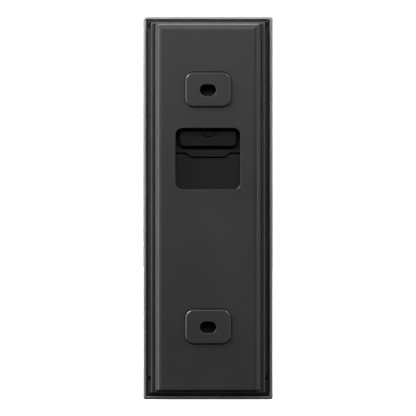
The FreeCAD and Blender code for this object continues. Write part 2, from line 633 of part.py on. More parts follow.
def motion_sensor():
    can = disc(4.1, -19.8, BOARD_FRONT - 0.5, 0, PIR_Z)
    can = can.makeFillet(0.5, at_depth(can, -19.8))
    can = can.cut(slab(2.2, PIR_Z - 1.6, PIR_Z + 1.6, -21, -19.5, 0.4))
    return fuse([can, disc(4.6, BOARD_FRONT - 0.5, BOARD_FRONT, 0, PIR_Z)])


def motion_filter():
    return slab(2.15, PIR_Z - 1.55, PIR_Z + 1.55, -19.8, -19.5, 0.35)


def light_pipe():
    outline = [(0, FRONT_EDGE), (1.0, FRONT_EDGE), (1.0, CAVITY_FRONT + 0.1), (1.7, CAVITY_FRONT + 0.1)]
    outline += [(1.7, CAVITY_FRONT + 0.9), (1.0, CAVITY_FRONT + 0.9), (1.0, -17.0), (0, -17.0)]
    return turned(outline, 0, SENSOR_Z)


def light_sensor():
    return slab(1.0, SENSOR_Z - 1.0, SENSOR_Z + 1.0, BOARD_FRONT - 0.9, BOARD_FRONT, 0.15)


def microphone():
    return slab(1.8, SENSOR_Z - 1.4, SENSOR_Z + 1.4, BOARD_FRONT - 1.1, BOARD_FRONT, 0.2, MIC_X)


def microphone_boot():
    return ring(2.3, 0.7, CAVITY_FRONT, BOARD_FRONT - 1.15, MIC_X, SENSOR_Z)


# ---- button -------------------------------------------------------------------------------------------------------
def button_cap():
    """Round dished cap with a stem that meets the switch, and a flange that holds it in."""
    face = BUTTON_FACE
    outline = [(0, face + 0.45), (8.5, face + 0.3), (10.9, face), (BUTTON_R - 0.35, face + 0.1)]
    outline += [(BUTTON_R, face + 0.5), (BUTTON_R, -23.0), (12.6, -23.0), (12.6, -22.4), (11.1, -22.4), (11.1, face + 1.8)]
    outline += [(2.6, face + 1.8), (2.6, -21.8), (0, -21.8)]
    return turned(outline, 0, BUTTON_Z).cut(button_bell())


def button_bell():
    """Plain raised bell on the cap: dome, brim and clapper."""
    y0, y1 = BUTTON_FACE + 0.12, BUTTON_FACE + 0.6
    z = BUTTON_Z
    dome = disc(2.6, y0, y1, 0, z + 0.9).cut(Part.makeBox(8, 3, 5, V(-4, y0 - 1, z - 4.1)))
    skirt = prism([(-2.6, z + 0.9), (2.6, z + 0.9), (3.3, z - 1.9), (-3.3, z - 1.9)], y0, y1)
    brim = slot(8.4, 0.9, y0, y1, 0, z - 2.2)
    knob = disc(0.65, y0, y1, 0, z + 3.7)
    clapper = disc(1.2, y0, y1, 0, z - 3.1).cut(Part.makeBox(4, 3, 2, V(-2, y0 - 1, z - 3.0)))
    return group([fuse([dome, skirt, brim, knob]), clapper])


def light_ring():
    """Translucent ring round the button that carries light from the lamps on the button board."""
    face = FRONT_EDGE - 0.35
    outline = [(RING_INNER, face + 0.3), (RING_INNER + 0.3, face), (RING_OUTER - 0.3, face), (RING_OUTER, face + 0.3)]
    outline += [(RING_OUTER, CAVITY_FRONT + 0.1), (15.6, CAVITY_FRONT + 0.1), (15.6, CAVITY_FRONT + 1.1)]
    outline += [(RING_OUTER - 0.2, CAVITY_FRONT + 1.1), (RING_OUTER - 0.2, -20.4), (12.9, -20.4)]
    outline += [(12.9, -23.3), (RING_INNER, -23.3)]
    return turned(outline, 0, BUTTON_Z)


def button_seal():
    """Silicone diaphragm behind the cap, open in the middle for the stem."""
    outline = [(3.0, -21.3), (3.9, -21.3), (5.0, -20.2), (8.4, -20.2), (9.2, -21.0), (11.8, -21.0), (11.8, -20.3)]
    outline += [(9.6, -20.3), (8.7, -19.5), (5.2, -19.5), (3.4, -20.7), (3.0, -20.7)]
    return turned(outline, 0, BUTTON_Z)


def button_board():
    board = disc(14.6, -18.6, CHASSIS_FRONT - 0.05, 0, BUTTON_Z)
    return board.cut(slab(20, BUTTON_Z - 20, BUTTON_Z - 13.4, -19, -17))


def button_switch():
    body = slab(2.6, BUTTON_Z - 2.6, BUTTON_Z + 2.6, -20.4, -18.6, 0.4)
    return fuse([body, disc(1.7, -20.9, -20.3, 0, BUTTON_Z)])


def ring_lamps():
    """Eight flat lamps under the light ring."""
    return group([slab(0.8, z - 0.8, z + 0.8, -19.5, -18.6, 0.1, x) for x, z in lamp_points(8, 12.9, BUTTON_Z)])


# ---- speaker ------------------------------------------------------------------------------------------------------
def speaker_frame():
    frame = slab(14.0, SPEAKER_Z - 8.6, SPEAKER_Z + 8.6, -22.6, -19.6, 4.0)
    bowl = slab(12.6, SPEAKER_Z - 7.2, SPEAKER_Z + 7.2, -23, -20.4, 3.0)
    return cut(frame, [bowl, disc(6.1, -24, -18, 0, SPEAKER_Z)])


def speaker_cone():
    """Diaphragm: a rolled surround and a shallow dome."""
    roll = slab(12.5, SPEAKER_Z - 7.1, SPEAKER_Z + 7.1, -22.0, -21.6, 2.9)
    roll = roll.cut(disc(5.0, -23, -21, 0, SPEAKER_Z))
    dome = Part.makeSphere(20.0, V(0, -2.5, SPEAKER_Z)).cut(Part.makeSphere(19.7, V(0, -2.5, SPEAKER_Z)))
    dome = dome.common(disc(5.0, -24, -21, 0, SPEAKER_Z))
    coil = ring(5.0, 4.5, -21.7, -20.0, 0, SPEAKER_Z)
    return fuse([roll, dome, coil])


def speaker_magnet():
    return fuse([disc(6.0, -19.6, -18.2, 0, SPEAKER_Z), disc(4.2, -21.0, -19.5, 0, SPEAKER_Z)])


def speaker_gasket():
    outer = slab(14.0, SPEAKER_Z - 8.6, SPEAKER_Z + 8.6, CAVITY_FRONT + 0.35, -22.6, 4.0)
    return outer.cut(slab(12.6, SPEAKER_Z - 7.2, SPEAKER_Z + 7.2, -25, -22, 3.0))


def speaker_mesh():
    return slab(14.0, SPEAKER_Z - 8.6, SPEAKER_Z + 8.6, CAVITY_FRONT, CAVITY_FRONT + 0.3, 4.0)


# ---- boards, battery and leads ------------------------------------------------------------------------------------
def chassis():
    """Moulded mid-frame between the front parts and the main board, with pillars for the board's screws."""
    frame = slab(19.6, -46.8 - 2.4, 64.4, CHASSIS_FRONT, CHASSIS_BACK, 1.5)
    openings = [
        slab(8.0, CAMERA_Z - 8.0, CAMERA_Z + 8.0, -20, -10, 1.0),
        disc(5.2, -20, -10, 0, PIR_Z),
        disc(2.0, -20, -10, 0, SENSOR_Z),
        disc(2.7, -20, -10, MIC_X, SENSOR_Z),
        slab(6.0, 1.0, 9.0, -20, -10, 1.0),
        disc(0.8, -20, -10, 0, BUTTON_Z + 18),
    ]
    openings += [disc(0.8, -20, -10, x, z) for x, z in chassis_points()]
    rails = [slab(0.7, -43, -15, CHASSIS_BACK - 0.2, -9.0, 0, side * 18.0) for side in (-1, 1)]
    rails += [disc(0.8, LAMP_SEAT + 0.8, CHASSIS_FRONT + 0.2, 9.3 * x, CAMERA_Z + 9.3 * z)
              for x, z in ((1, 0), (-1, 0), (0, 1), (0, -1))]
    pillars = [disc(1.8, CHASSIS_FRONT, BOARD_FRONT, x, z) for x, z in BOARD_SCREWS]
    threads = [disc(0.62, CHASSIS_FRONT - 1, BOARD_BACK, x, z) for x, z in BOARD_SCREWS]
    return cut(fuse([cut(frame, openings)] + rails + pillars), threads)


def chassis_screws():
    return group([pan_screw(x, z, CHASSIS_BACK, CHASSIS_FRONT - 3, 1.15, 0.7, 0.6) for x, z in chassis_points()])


def main_board():
    board = slab(BOARD_HALF, BOARD_BOTTOM, BOARD_TOP, BOARD_FRONT, BOARD_BACK, 1.0)
    holes = [disc(0.8, -20, -10, x, z) for x, z in BOARD_SCREWS]
    notches = [disc(2.2, -20, -10, x, z) for x, z in chassis_points()]
    return cut(board, holes + notches)


def board_screws():
    return group([pan_screw(x, z, BOARD_BACK, BOARD_FRONT - 1.2, 1.4, 0.8, 0.6) for x, z in BOARD_SCREWS])


def shield_cans():
    """Two pressed cans over the processor and the radio."""
    radio = slab(9.0, 34.0, 47.0, BOARD_BACK, -12.4, 0.6, -7.0)
    processor = slab(8.0, 0.5, 17.0, BOARD_BACK, -12.6, 0.6, 7.0)
    cans = [c.makeFillet(0.35, at_depth(c, y)) for c, y in ((radio, -12.4), (processor, -12.6))]
    return group(cans)


def radio_antenna():
    """Folded strip antenna along the board's upper edge."""
    feet = [slab(0.5, 53.0, 54.2, BOARD_BACK, -12.0, 0, x) for x in (5.5, 14.5)]
    bar = slab(5.0, 53.0, 54.2, -12.2, -11.8, 0, 10.0)
    arm = slab(0.6, 46.0, 54.2, -12.2, -11.8, 0, 5.6)
    return fuse(feet + [bar, arm])


def board_connectors():
    """Sockets for the battery's and the button board's leads."""
    battery = slab(3.2, -4.8, -1.2, BOARD_BACK, -11.6, 0.2, -8.0)
    button = slab(3.6, -4.4, -1.6, BOARD_BACK, -13.2, 0.2, 8.0)
    return group([battery, button])


def battery_pack():
    pack = slab(16.8, BATTERY_BOTTOM, BATTERY_TOP, BATTERY_FRONT, BATTERY_BACK, 3.0)
    return pack.makeFillet(1.4, at_depth(pack, BATTERY_FRONT) + at_depth(pack, BATTERY_BACK))


def battery_board():
    return slab(12.0, BATTERY_TOP, BATTERY_TOP + 2.7, -12.9, -11.9, 0.3)


def battery_pad():
    """Foam between the cell and the rear housing, above the swell for the lower wall screw."""
    return slab(14.0, -34.5, -15.0, BATTERY_BACK + 0.05, BACK - BACK_WALL - 0.05, 2.0)


def battery_leads():
    """Two leads from the battery's board to its socket."""
    leads = []
    for x in (-8.9, -7.1):
        leads.append(lead([(x, -11.9, -9.4), (x, -9.6, -9.4), (x, -9.6, -3.0), (x, -11.6, -3.0)], 0.5, 0.9))
    return group(leads)


PIECES = [
    mounting_plate, window_gasket, latch_spring, latch_screw,
    outer_shell, front_panel, rear_housing, service_bezel, housing_seal, housing_screws,
    port_cover, port_cover_seal, port_hinge_pin, usb_shell, usb_tongue, sync_button, sync_switch,
    camera_ring, camera_window, window_seal, lens_hood, lens_barrel, lens_front, lens_middle, lens_rear,
    lens_holder, image_sensor, infrared_filter, lamp_board, infrared_lamps,
    motion_lens, motion_sensor, motion_filter, light_pipe, light_sensor, microphone, microphone_boot,
    button_cap, button_bell, light_ring, button_seal, button_board, button_switch, ring_lamps,
    speaker_frame, speaker_cone, speaker_magnet, speaker_gasket, speaker_mesh,
    chassis, chassis_screws, main_board, board_screws, shield_cans, radio_antenna, board_connectors,
    battery_pack, battery_board, battery_pad, battery_leads,
]


def main():
    os.makedirs("parts", exist_ok=True)
    for piece in PIECES:
        shape = piece()
        name = piece.__name__
        sound = shape.isValid() and all(s.Volume > 0 for s in shape.Solids)
        print(f"{name}: {len(shape.Solids)} solid(s), {shape.Volume:.1f} mm3{'' if sound else ' NOT SOUND'}")
        shape.exportStep(f"parts/{name}.step")


main()
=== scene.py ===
"""Looks for the slim video doorbell on its wall plate. Metres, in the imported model's frame.

+Z is up, the doorbell faces -Y and the wall is y = 0. The camera looks at the back, along -Y.
"""

import math

import bpy
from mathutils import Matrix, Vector


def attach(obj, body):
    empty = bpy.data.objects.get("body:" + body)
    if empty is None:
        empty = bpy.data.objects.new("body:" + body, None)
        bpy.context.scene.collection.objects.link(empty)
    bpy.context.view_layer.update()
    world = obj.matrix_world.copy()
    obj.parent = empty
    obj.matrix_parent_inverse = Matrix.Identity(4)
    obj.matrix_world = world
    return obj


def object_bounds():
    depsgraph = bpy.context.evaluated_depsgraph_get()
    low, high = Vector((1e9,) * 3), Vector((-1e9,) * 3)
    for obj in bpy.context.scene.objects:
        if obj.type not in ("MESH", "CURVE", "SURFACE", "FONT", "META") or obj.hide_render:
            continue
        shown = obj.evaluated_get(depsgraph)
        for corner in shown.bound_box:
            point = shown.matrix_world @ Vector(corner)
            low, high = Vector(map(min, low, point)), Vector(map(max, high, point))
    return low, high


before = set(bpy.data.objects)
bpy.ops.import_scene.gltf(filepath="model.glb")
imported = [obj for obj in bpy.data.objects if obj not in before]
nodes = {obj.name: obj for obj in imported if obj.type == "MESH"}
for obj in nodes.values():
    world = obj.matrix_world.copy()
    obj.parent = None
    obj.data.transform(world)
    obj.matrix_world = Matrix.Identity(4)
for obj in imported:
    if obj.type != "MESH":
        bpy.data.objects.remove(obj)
cad_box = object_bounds()
MM = 0.001
scene = bpy.context.scene

WAVE_PERIOD = 0.314  # length of one period of the wave texture at scale 1
MOTION_AXIS = 19.0  # height of the motion sensor's axis, mm
LEADS_SPLIT = -8.0  # x between the two battery leads, mm
TONGUE_MIDDLE = (2.9, -10.4, 25.32)  # middle of the port's contacts, mm
BOARD_REAR = -14.5  # y of the main board's rear face, mm
CAMERA_Y = 0.5522
CAMERA_LENS = 135
FLOOR_HALF = 4.0


# ---- material kit ----------------------------------------------------------------
class Look:
    """A node material round one Principled shader, in object coordinates so that scales are real."""

    def __init__(self, name):
        self.mat = bpy.data.materials.new(name)
        self.mat.use_nodes = True
        self.tree = self.mat.node_tree
        self.shader = self.tree.nodes["Principled BSDF"]
        self.coords = self.node("ShaderNodeTexCoord").outputs["Object"]

    def node(self, kind, **props):
        n = self.tree.nodes.new(kind)
        for key, value in props.items():
            setattr(n, key, value)
        return n

    def put(self, socket, value):
        """Links an output to a socket, or sets the socket to a plain value."""
        if isinstance(value, bpy.types.NodeSocket):
            self.tree.links.new(value, socket)
        else:
            socket.default_value = value

    def set(self, **values):
        for key, value in values.items():
            self.put(self.shader.inputs[key.replace("_", " ")], value)

    def maths(self, op, a, b=0.0, clamp=False):
        n = self.node("ShaderNodeMath", operation=op, use_clamp=clamp)
        self.put(n.inputs[0], a)
        self.put(n.inputs[1], b)
        return n.outputs[0]

    def stretch(self, factors, coords=None):
        n = self.node("ShaderNodeMapping")
        self.put(n.inputs["Vector"], coords or self.coords)
        n.inputs["Scale"].default_value = factors
        return n.outputs[0]

    def noise(self, size_mm, detail=2.0, rough=0.5, coords=None, warp=0.0):
        """Noise whose features are about size_mm across. Its values are round 0.5."""
        n = self.node("ShaderNodeTexNoise")
        self.put(n.inputs["Vector"], coords or self.coords)
        n.inputs["Scale"].default_value = 1 / (size_mm * MM)
        n.inputs["Detail"].default_value = detail
        n.inputs["Roughness"].default_value = rough
        n.inputs["Distortion"].default_value = warp
        return n.outputs["Fac"]

    def cells(self, size_mm, feature="F1", coords=None):
        """Distance within cells about size_mm across."""
        n = self.node("ShaderNodeTexVoronoi", feature=feature)
        self.put(n.inputs["Vector"], coords or self.coords)
        n.inputs["Scale"].default_value = 1 / (size_mm * MM)
        return n.outputs["Distance"]

    def ranged(self, value, low, high, out_low=0.0, out_high=1.0):
        n = self.node("ShaderNodeMapRange", interpolation_type="SMOOTHSTEP")
        self.put(n.inputs["Value"], value)
        for key, v in (("From Min", low), ("From Max", high), ("To Min", out_low), ("To Max", out_high)):
            n.inputs[key].default_value = v
        return n.outputs["Result"]

    def mix(self, factor, a, b):
        n = self.node("ShaderNodeMix", data_type="RGBA")
        self.put(n.inputs["Factor"], factor)
        # the node's colour sockets: 6 and 7 in, 2 out
        for socket, value in ((n.inputs[6], a), (n.inputs[7], b)):
            self.put(socket, value if isinstance(value, bpy.types.NodeSocket) else (*value, 1.0))
        return n.outputs[2]

    def bump(self, height, depth_mm, strength=1.0, under=None):
        n = self.node("ShaderNodeBump")
        n.inputs["Strength"].default_value = strength
        n.inputs["Distance"].default_value = depth_mm * MM
        self.put(n.inputs["Height"], height)
        if under is not None:
            self.put(n.inputs["Normal"], under)
        return n.outputs[0]

    def soft_edges(self, radius_mm):
        """The normal as it would be with every edge rounded by the radius."""
        n = self.node("ShaderNodeBevel", samples=6)
        n.inputs["Radius"].default_value = radius_mm * MM
        return n.outputs[0]

    def edge_mask(self, radius_mm, low=0.02, high=0.25):
        """1 along edges, 0 on flats."""
        flat = self.node("ShaderNodeNewGeometry").outputs["Normal"]
        n = self.node("ShaderNodeVectorMath", operation="DOT_PRODUCT")
        self.put(n.inputs[0], flat)
        self.put(n.inputs[1], self.soft_edges(radius_mm))
        return self.ranged(self.maths("SUBTRACT", 1.0, n.outputs["Value"]), low, high)


def moulded(name, colour, rough=0.5, grain_mm=0.22, grain_depth=0.012, wear=0.35, mottle=0.12):
    """Moulded plastic: spark-eroded grain, slow colour drift, rubbed edges and a few fine scratches."""
    look = Look(name)
    dark = tuple(c * (1 - mottle) for c in colour)
    light = tuple(c * (1 + mottle) for c in colour)
    drift = look.ranged(look.noise(14, 4, 0.6), 0.35, 0.65)
    fine = look.noise(grain_mm, 3, 0.6)
    base = look.mix(drift, dark, light)
    tips = look.mix(drift, colour, tuple(c * (1 + 2 * mottle) for c in colour))
    base = look.mix(look.ranged(fine, 0.3, 0.7), base, tips)
    rubbed = look.maths("MULTIPLY", look.edge_mask(0.35), look.ranged(look.noise(3.5, 4, 0.65), 0.42, 0.62))
    rubbed = look.maths("MULTIPLY", rubbed, wear)
    base = look.mix(rubbed, base, tuple(min(1.0, c * 2.6 + 0.02) for c in colour))
    scratch = look.cells(7, "DISTANCE_TO_EDGE", look.stretch((1.0, 1.0, 0.22)))
    sparse = look.ranged(look.noise(9, 2), 0.55, 0.7)
    scratch = look.maths("MULTIPLY", look.ranged(scratch, 0.0, 0.006, 1.0, 0.0), sparse)
    look.set(Base_Color=base, Specular_IOR_Level=0.5)
    sheen = look.ranged(look.noise(22, 5, 0.6), 0.3, 0.7, rough - 0.05, rough + 0.06)
    look.set(Roughness=look.maths("SUBTRACT", sheen, look.maths("MULTIPLY", rubbed, 0.18), clamp=True))
    normal = look.bump(fine, grain_depth, 1.0, look.soft_edges(0.12))
    normal = look.bump(look.noise(0.9, 2, 0.5), grain_depth * 1.2, 0.6, normal)
    look.set(Normal=look.bump(scratch, 0.012, 0.35, normal))
    return look.mat


def metal(name, colour, rough=0.3, brush=None, blast_mm=0.16, blast_depth=0.008, wear=0.3):
    """Metal with a blasted or a brushed surface. brush gives the stretch along X, Y and Z."""
    look = Look(name)
    cloud = look.ranged(look.noise(18, 4, 0.6), 0.35, 0.65)
    base = look.mix(cloud, tuple(c * 0.985 for c in colour), tuple(min(1.0, c * 1.015) for c in colour))
    rubbed = look.maths("MULTIPLY", look.edge_mask(0.3), look.ranged(look.noise(4, 4, 0.6), 0.4, 0.6))
    rubbed = look.maths("MULTIPLY", rubbed, wear)
    base = look.mix(rubbed, base, tuple(min(1.0, c * 1.35 + 0.05) for c in colour))
    fine = look.noise(blast_mm, 2, 0.5, look.stretch(brush) if brush else None)
    smear = look.ranged(look.noise(9, 5, 0.7), 0.35, 0.7, rough - 0.008, rough + 0.012)
    smear = look.maths("ADD", smear, look.ranged(fine, 0.3, 0.7, -0.03, 0.03))
    look.set(Base_Color=base, Metallic=1.0, Roughness=smear)
    look.set(Normal=look.bump(fine, blast_depth, 1.0, look.soft_edges(0.1)))
    return look.mat


def dress(material, *names):
    """Gives each CAD node one material."""
    for name in names:
        me = nodes[name].data
        me.materials.clear()
        me.materials.append(material)


def clear_resin(name, tint, rough=0.05, ior=1.5, film=0.0, smear=0.05, transmission=1.0):
    """Glass or clear resin with faint smears. film is the thickness of its coating in nanometres."""
    look = Look(name)
    haze = look.ranged(look.noise(6, 5, 0.65), 0.45, 0.75, 0.0, smear)
    streak = look.ranged(look.noise(1.6, 4, 0.6, look.stretch((1.0, 1.0, 0.25))), 0.55, 0.8, 0.0, smear)
    cast = look.mix(look.noise(4, 3), tint, tuple(c * 0.94 for c in tint))
    look.set(Base_Color=cast, Roughness=look.maths("ADD", look.maths("ADD", haze, streak), rough))
    look.set(Transmission_Weight=transmission, IOR=ior, Normal=look.bump(look.noise(2.5, 2), 0.002, 0.4))
    if film:
        look.set(Thin_Film_Thickness=film, Thin_Film_IOR=1.38)
    return look.mat


def milky(name, colour):
    """Light-spreading plastic: light enters it and comes out nearby."""
    look = Look(name)
    body = look.mix(look.ranged(look.noise(5, 4), 0.35, 0.65), colour, tuple(c * 0.95 for c in colour))
    look.set(Base_Color=body, Subsurface_Weight=0.6, Subsurface_Scale=0.8 * MM)
    look.set(Subsurface_Radius=(1.0, 1.0, 1.1))
    look.set(Roughness=look.ranged(look.noise(3, 4), 0.3, 0.7, 0.3, 0.42))
    look.set(Normal=look.bump(look.noise(0.15, 2), 0.003, 0.6, look.soft_edges(0.08)))
    return look.mat


def face_on(look):
    """Coordinates with the object's height as the texture's second axis, for things drawn on XZ faces."""
    parts = look.node("ShaderNodeSeparateXYZ")
    look.put(parts.inputs[0], look.coords)
    joined = look.node("ShaderNodeCombineXYZ")
    for i, axis in enumerate(("X", "Z", "Y")):
        look.put(joined.inputs[i], parts.outputs[axis])
    return joined.outputs[0]


def board(name):
    """Solder mask over copper runs, with tinned pads and a fibre weave."""
    look = Look(name)
    flat = face_on(look)
    runs = look.node("ShaderNodeTexBrick", offset=0.37, squash=0.6, squash_frequency=3)
    look.put(runs.inputs["Vector"], flat)
    for key, value in (("Scale", 1000.0), ("Brick Width", 3.1), ("Row Height", 0.62), ("Mortar Size", 0.06)):
        runs.inputs[key].default_value = value
    routed = look.ranged(look.noise(7, 2, coords=flat), 0.42, 0.5)
    copper = look.maths("MULTIPLY", runs.outputs["Fac"], routed)
    dots = look.node("ShaderNodeTexVoronoi", distance="CHEBYCHEV")
    look.put(dots.inputs["Vector"], flat)
    dots.inputs["Scale"].default_value = 1 / (1.9 * MM)
    pads = look.ranged(dots.outputs["Distance"], 0.1, 0.13, 1.0, 0.0)
    pads = look.maths("MULTIPLY", pads, look.ranged(look.noise(5, 2), 0.5, 0.56))
    mask = look.mix(look.noise(9, 4), (0.006, 0.05, 0.028), (0.01, 0.075, 0.04))
    base = look.mix(pads, look.mix(copper, mask, (0.03, 0.17, 0.07)), (0.62, 0.6, 0.55))
    look.set(Base_Color=base, Metallic=pads, Roughness=look.ranged(look.noise(1.2, 3), 0.3, 0.7, 0.24, 0.36))
    weave = look.bump(look.noise(0.3, 2, coords=look.stretch((1.0, 1.0, 0.3))), 0.006, 0.6)
    look.set(Normal=look.bump(look.maths("ADD", copper, pads), 0.03, 0.8, weave))
    return look.mat


def foam(name, colour):
    """Open-cell foam with no shine; its pores are painted darker as shade in their hollows."""
    look = Look(name)
    pores = look.cells(0.35)
    # painted shade: the colour darkens towards the bottom of each pore
    base = look.mix(look.ranged(pores, 0.1, 0.6), tuple(c * 0.4 for c in colour), colour)
    look.set(Base_Color=base, Roughness=look.ranged(look.noise(2, 3), 0.3, 0.7, 0.85, 0.98))
    look.set(Normal=look.bump(pores, 0.12, 0.9))
    return look.mat


def rubber(name, colour, rough=0.62):
    """Silicone: dull, slightly bloomed, with a few specks of dust."""
    look = Look(name)
    bloom = look.ranged(look.noise(5, 5, 0.65), 0.45, 0.7)
    base = look.mix(bloom, colour, tuple(c * 1.8 + 0.004 for c in colour))
    specks = look.ranged(look.cells(1.1), 0.04, 0.07, 0.35, 0.0)
    look.set(Base_Color=look.mix(specks, base, (0.25, 0.24, 0.22)), Sheen_Weight=0.15, Sheen_Roughness=0.6)
    look.set(Roughness=look.ranged(look.noise(3, 4), 0.3, 0.7, rough - 0.06, rough + 0.08))
    look.set(Normal=look.bump(look.noise(0.12, 2), 0.004, 0.8, look.soft_edges(0.12)))
    return look.mat


def woven(name, colour, pitch_mm=0.34):
    """Fine plain weave on an XZ face."""
    look = Look(name)
    threads = []
    for axis in ("X", "Z"):
        wave = look.node("ShaderNodeTexWave", wave_type="BANDS", bands_direction=axis, wave_profile="SIN")
        look.put(wave.inputs["Vector"], look.coords)
        wave.inputs["Scale"].default_value = WAVE_PERIOD / (pitch_mm * MM)
        wave.inputs["Distortion"].default_value = 0.15
        threads.append(wave.outputs["Fac"])
    cloth = look.maths("MAXIMUM", threads[0], threads[1])
    # painted shade: the colour darkens in the hollows between the threads
    base = look.mix(look.ranged(cloth, 0.3, 0.9), tuple(c * 0.15 for c in colour), colour)
    look.set(Base_Color=base, Roughness=look.ranged(look.noise(2, 3), 0.3, 0.7, 0.6, 0.75))
    look.set(Normal=look.bump(cloth, 0.1, 0.9))
    return look.mat


def ringed_window(name, colour):
    """Smoky plastic with shallow moulded rings round the motion sensor's axis."""
    look = Look(name)
    shifted = look.node("ShaderNodeMapping")
    look.put(shifted.inputs["Vector"], look.coords)
    shifted.inputs["Location"].default_value = (0, 0, -MOTION_AXIS * MM)
    rings = look.node("ShaderNodeTexWave", wave_type="RINGS", rings_direction="Y", wave_profile="SAW")
    look.put(rings.inputs["Vector"], shifted.outputs[0])
    rings.inputs["Scale"].default_value = WAVE_PERIOD / (0.9 * MM)
    base = look.mix(look.noise(4, 4), colour, tuple(c * 1.3 for c in colour))
    look.set(Base_Color=base, Roughness=look.ranged(look.noise(5, 5), 0.35, 0.7, 0.16, 0.3))
    grain = look.bump(look.noise(0.2, 2), 0.002, 0.5, look.soft_edges(0.15))
    look.set(Normal=look.bump(rings.outputs["Fac"], 0.05, 0.5, grain))
    return look.mat


def wrapped_cell(name):
    """Grey film shrunk over the cell: soft wrinkles and a dull shine."""
    look = Look(name)
    creases = look.noise(5, 5, 0.6, look.stretch((1.0, 1.0, 0.35)), 0.8)
    # painted shade and highlight: the film is darker in the crease hollows and lighter on their crests
    base = look.mix(look.ranged(creases, 0.35, 0.65), (0.12, 0.13, 0.15), (0.17, 0.18, 0.2))
    look.set(Base_Color=base, Metallic=0.25, Roughness=look.ranged(look.noise(9, 4), 0.3, 0.7, 0.28, 0.42))
    look.set(Normal=look.bump(creases, 0.25, 0.35, look.bump(look.noise(0.4, 2), 0.01, 0.5)))
    return look.mat


def leads_pair(name):
    """Red insulation on the outer lead and black on the inner one."""
    look = Look(name)
    parts = look.node("ShaderNodeSeparateXYZ")
    look.put(parts.inputs[0], look.coords)
    inner = look.maths("GREATER_THAN", parts.outputs["X"], LEADS_SPLIT * MM)
    base = look.mix(inner, (0.32, 0.012, 0.01), (0.012, 0.012, 0.012))
    base = look.mix(look.ranged(look.noise(3, 4), 0.5, 0.75, 0.0, 0.25), base, (0.2, 0.15, 0.14))
    look.set(Base_Color=base, Roughness=look.ranged(look.noise(2, 3), 0.3, 0.7, 0.35, 0.5))
    look.set(Normal=look.bump(look.noise(0.5, 3), 0.01, 0.6))
    return look.mat


# ---- materials -------------------------------------------------------------------
PLATE = moulded(
    "plate_charcoal", (0.043, 0.043, 0.0445), rough=0.4, grain_depth=0.005, wear=0.1, mottle=0.035
)
HOUSING = moulded(
    "housing_black", (0.0031, 0.0031, 0.0033), rough=0.52, grain_depth=0.005, wear=0.1, mottle=0.05
)
SHELL = metal("shell_satin", (0.42, 0.425, 0.435), rough=0.5)
PANEL = moulded("panel_gloss", (0.005, 0.005, 0.006), rough=0.09, grain_depth=0.0, wear=0.05, mottle=0.05)
TRIM = metal("trim_turned", (0.55, 0.56, 0.58), rough=0.24, brush=(1.0, 6.0, 1.0))
INNER = moulded("inner_black", (0.02, 0.02, 0.021), rough=0.55)
CONE = moulded("cone_film", (0.03, 0.03, 0.032), rough=0.6, grain_mm=0.5, grain_depth=0.03, wear=0.0)
BUTTON = moulded("button_satin", (0.026, 0.026, 0.028), rough=0.34, grain_depth=0.003, wear=0.25)
ICON = moulded("icon_white", (0.7, 0.7, 0.7), rough=0.35, grain_depth=0.002, wear=0.0, mottle=0.03)
CHIP = moulded("chip_epoxy", (0.02, 0.02, 0.021), rough=0.42, grain_mm=0.1, grain_depth=0.004, wear=0.1)
NYLON = moulded("socket_nylon", (0.62, 0.57, 0.46), rough=0.42, grain_depth=0.003, wear=0.0, mottle=0.04)
SILICONE = rubber("silicone_black", (0.014, 0.014, 0.014))
FOAM = foam("foam_black", (0.035, 0.035, 0.036))
STEEL = metal("steel_plain", (0.56, 0.56, 0.57), rough=0.27, brush=(1.0, 1.0, 0.12))
CAN = metal("steel_tinned", (0.68, 0.68, 0.66), rough=0.3, blast_mm=0.5, blast_depth=0.01)
DARK_STEEL = metal("steel_blacked", (0.055, 0.055, 0.06), rough=0.36, wear=0.5)
PLATED = metal("magnet_nickel", (0.66, 0.65, 0.62), rough=0.16, wear=0.1)
GOLD = metal("contact_gold", (0.85, 0.58, 0.2), rough=0.2, wear=0.1)
GLASS = clear_resin("window_tinted", (0.16, 0.16, 0.18), rough=0.02, film=90.0)
OPTIC = clear_resin("lens_coated", (0.92, 0.95, 1.0), rough=0.0, ior=1.62, film=420.0, smear=0.01)
FILTER = clear_resin("filter_pink", (0.9, 0.35, 0.45), rough=0.02, film=520.0)
LAMP = clear_resin("lamp_resin", (0.4, 0.3, 0.5), rough=0.05, smear=0.08, transmission=0.8)
MILKY = milky("diffuser_milky", (0.74, 0.76, 0.78))
RINGED = ringed_window("motion_window", (0.008, 0.008, 0.01))
BOARD = board("board_green")
WEAVE = woven("mesh_black", (0.03, 0.03, 0.03))
CELL = wrapped_cell("battery_film")
LEADS = leads_pair("lead_insulation")

FINISHES = (
    (PLATE, "mounting_plate"),
    (HOUSING, "rear_housing service_bezel port_cover"),
    (SHELL, "outer_shell"),
    (PANEL, "front_panel"),
    (TRIM, "camera_ring"),
    (INNER, "chassis lens_hood lens_barrel lens_holder speaker_frame usb_tongue"),
    (CONE, "speaker_cone"),
    (BUTTON, "button_cap sync_button"),
    (ICON, "button_bell"),
    (CHIP, "sync_switch button_switch light_sensor motion_filter image_sensor"),
    (NYLON, "board_connectors ring_lamps"),
    (SILICONE, "port_cover_seal button_seal housing_seal window_seal microphone_boot"),
    (FOAM, "window_gasket speaker_gasket battery_pad"),
    (STEEL, "latch_spring usb_shell chassis_screws board_screws"),
    (CAN, "shield_cans microphone motion_sensor radio_antenna"),
    (DARK_STEEL, "housing_screws latch_screw port_hinge_pin"),
    (PLATED, "speaker_magnet"),
    (GLASS, "camera_window"),
    (OPTIC, "lens_front lens_middle lens_rear"),
    (FILTER, "infrared_filter"),
    (LAMP, "infrared_lamps"),
    (MILKY, "light_ring light_pipe"),
    (RINGED, "motion_lens"),
    (BOARD, "main_board lamp_board button_board battery_board"),
    (WEAVE, "speaker_mesh"),
    (CELL, "battery_pack"),
    (LEADS, "battery_leads"),
)
for finish, names in FINISHES:
    dress(finish, *names.split())


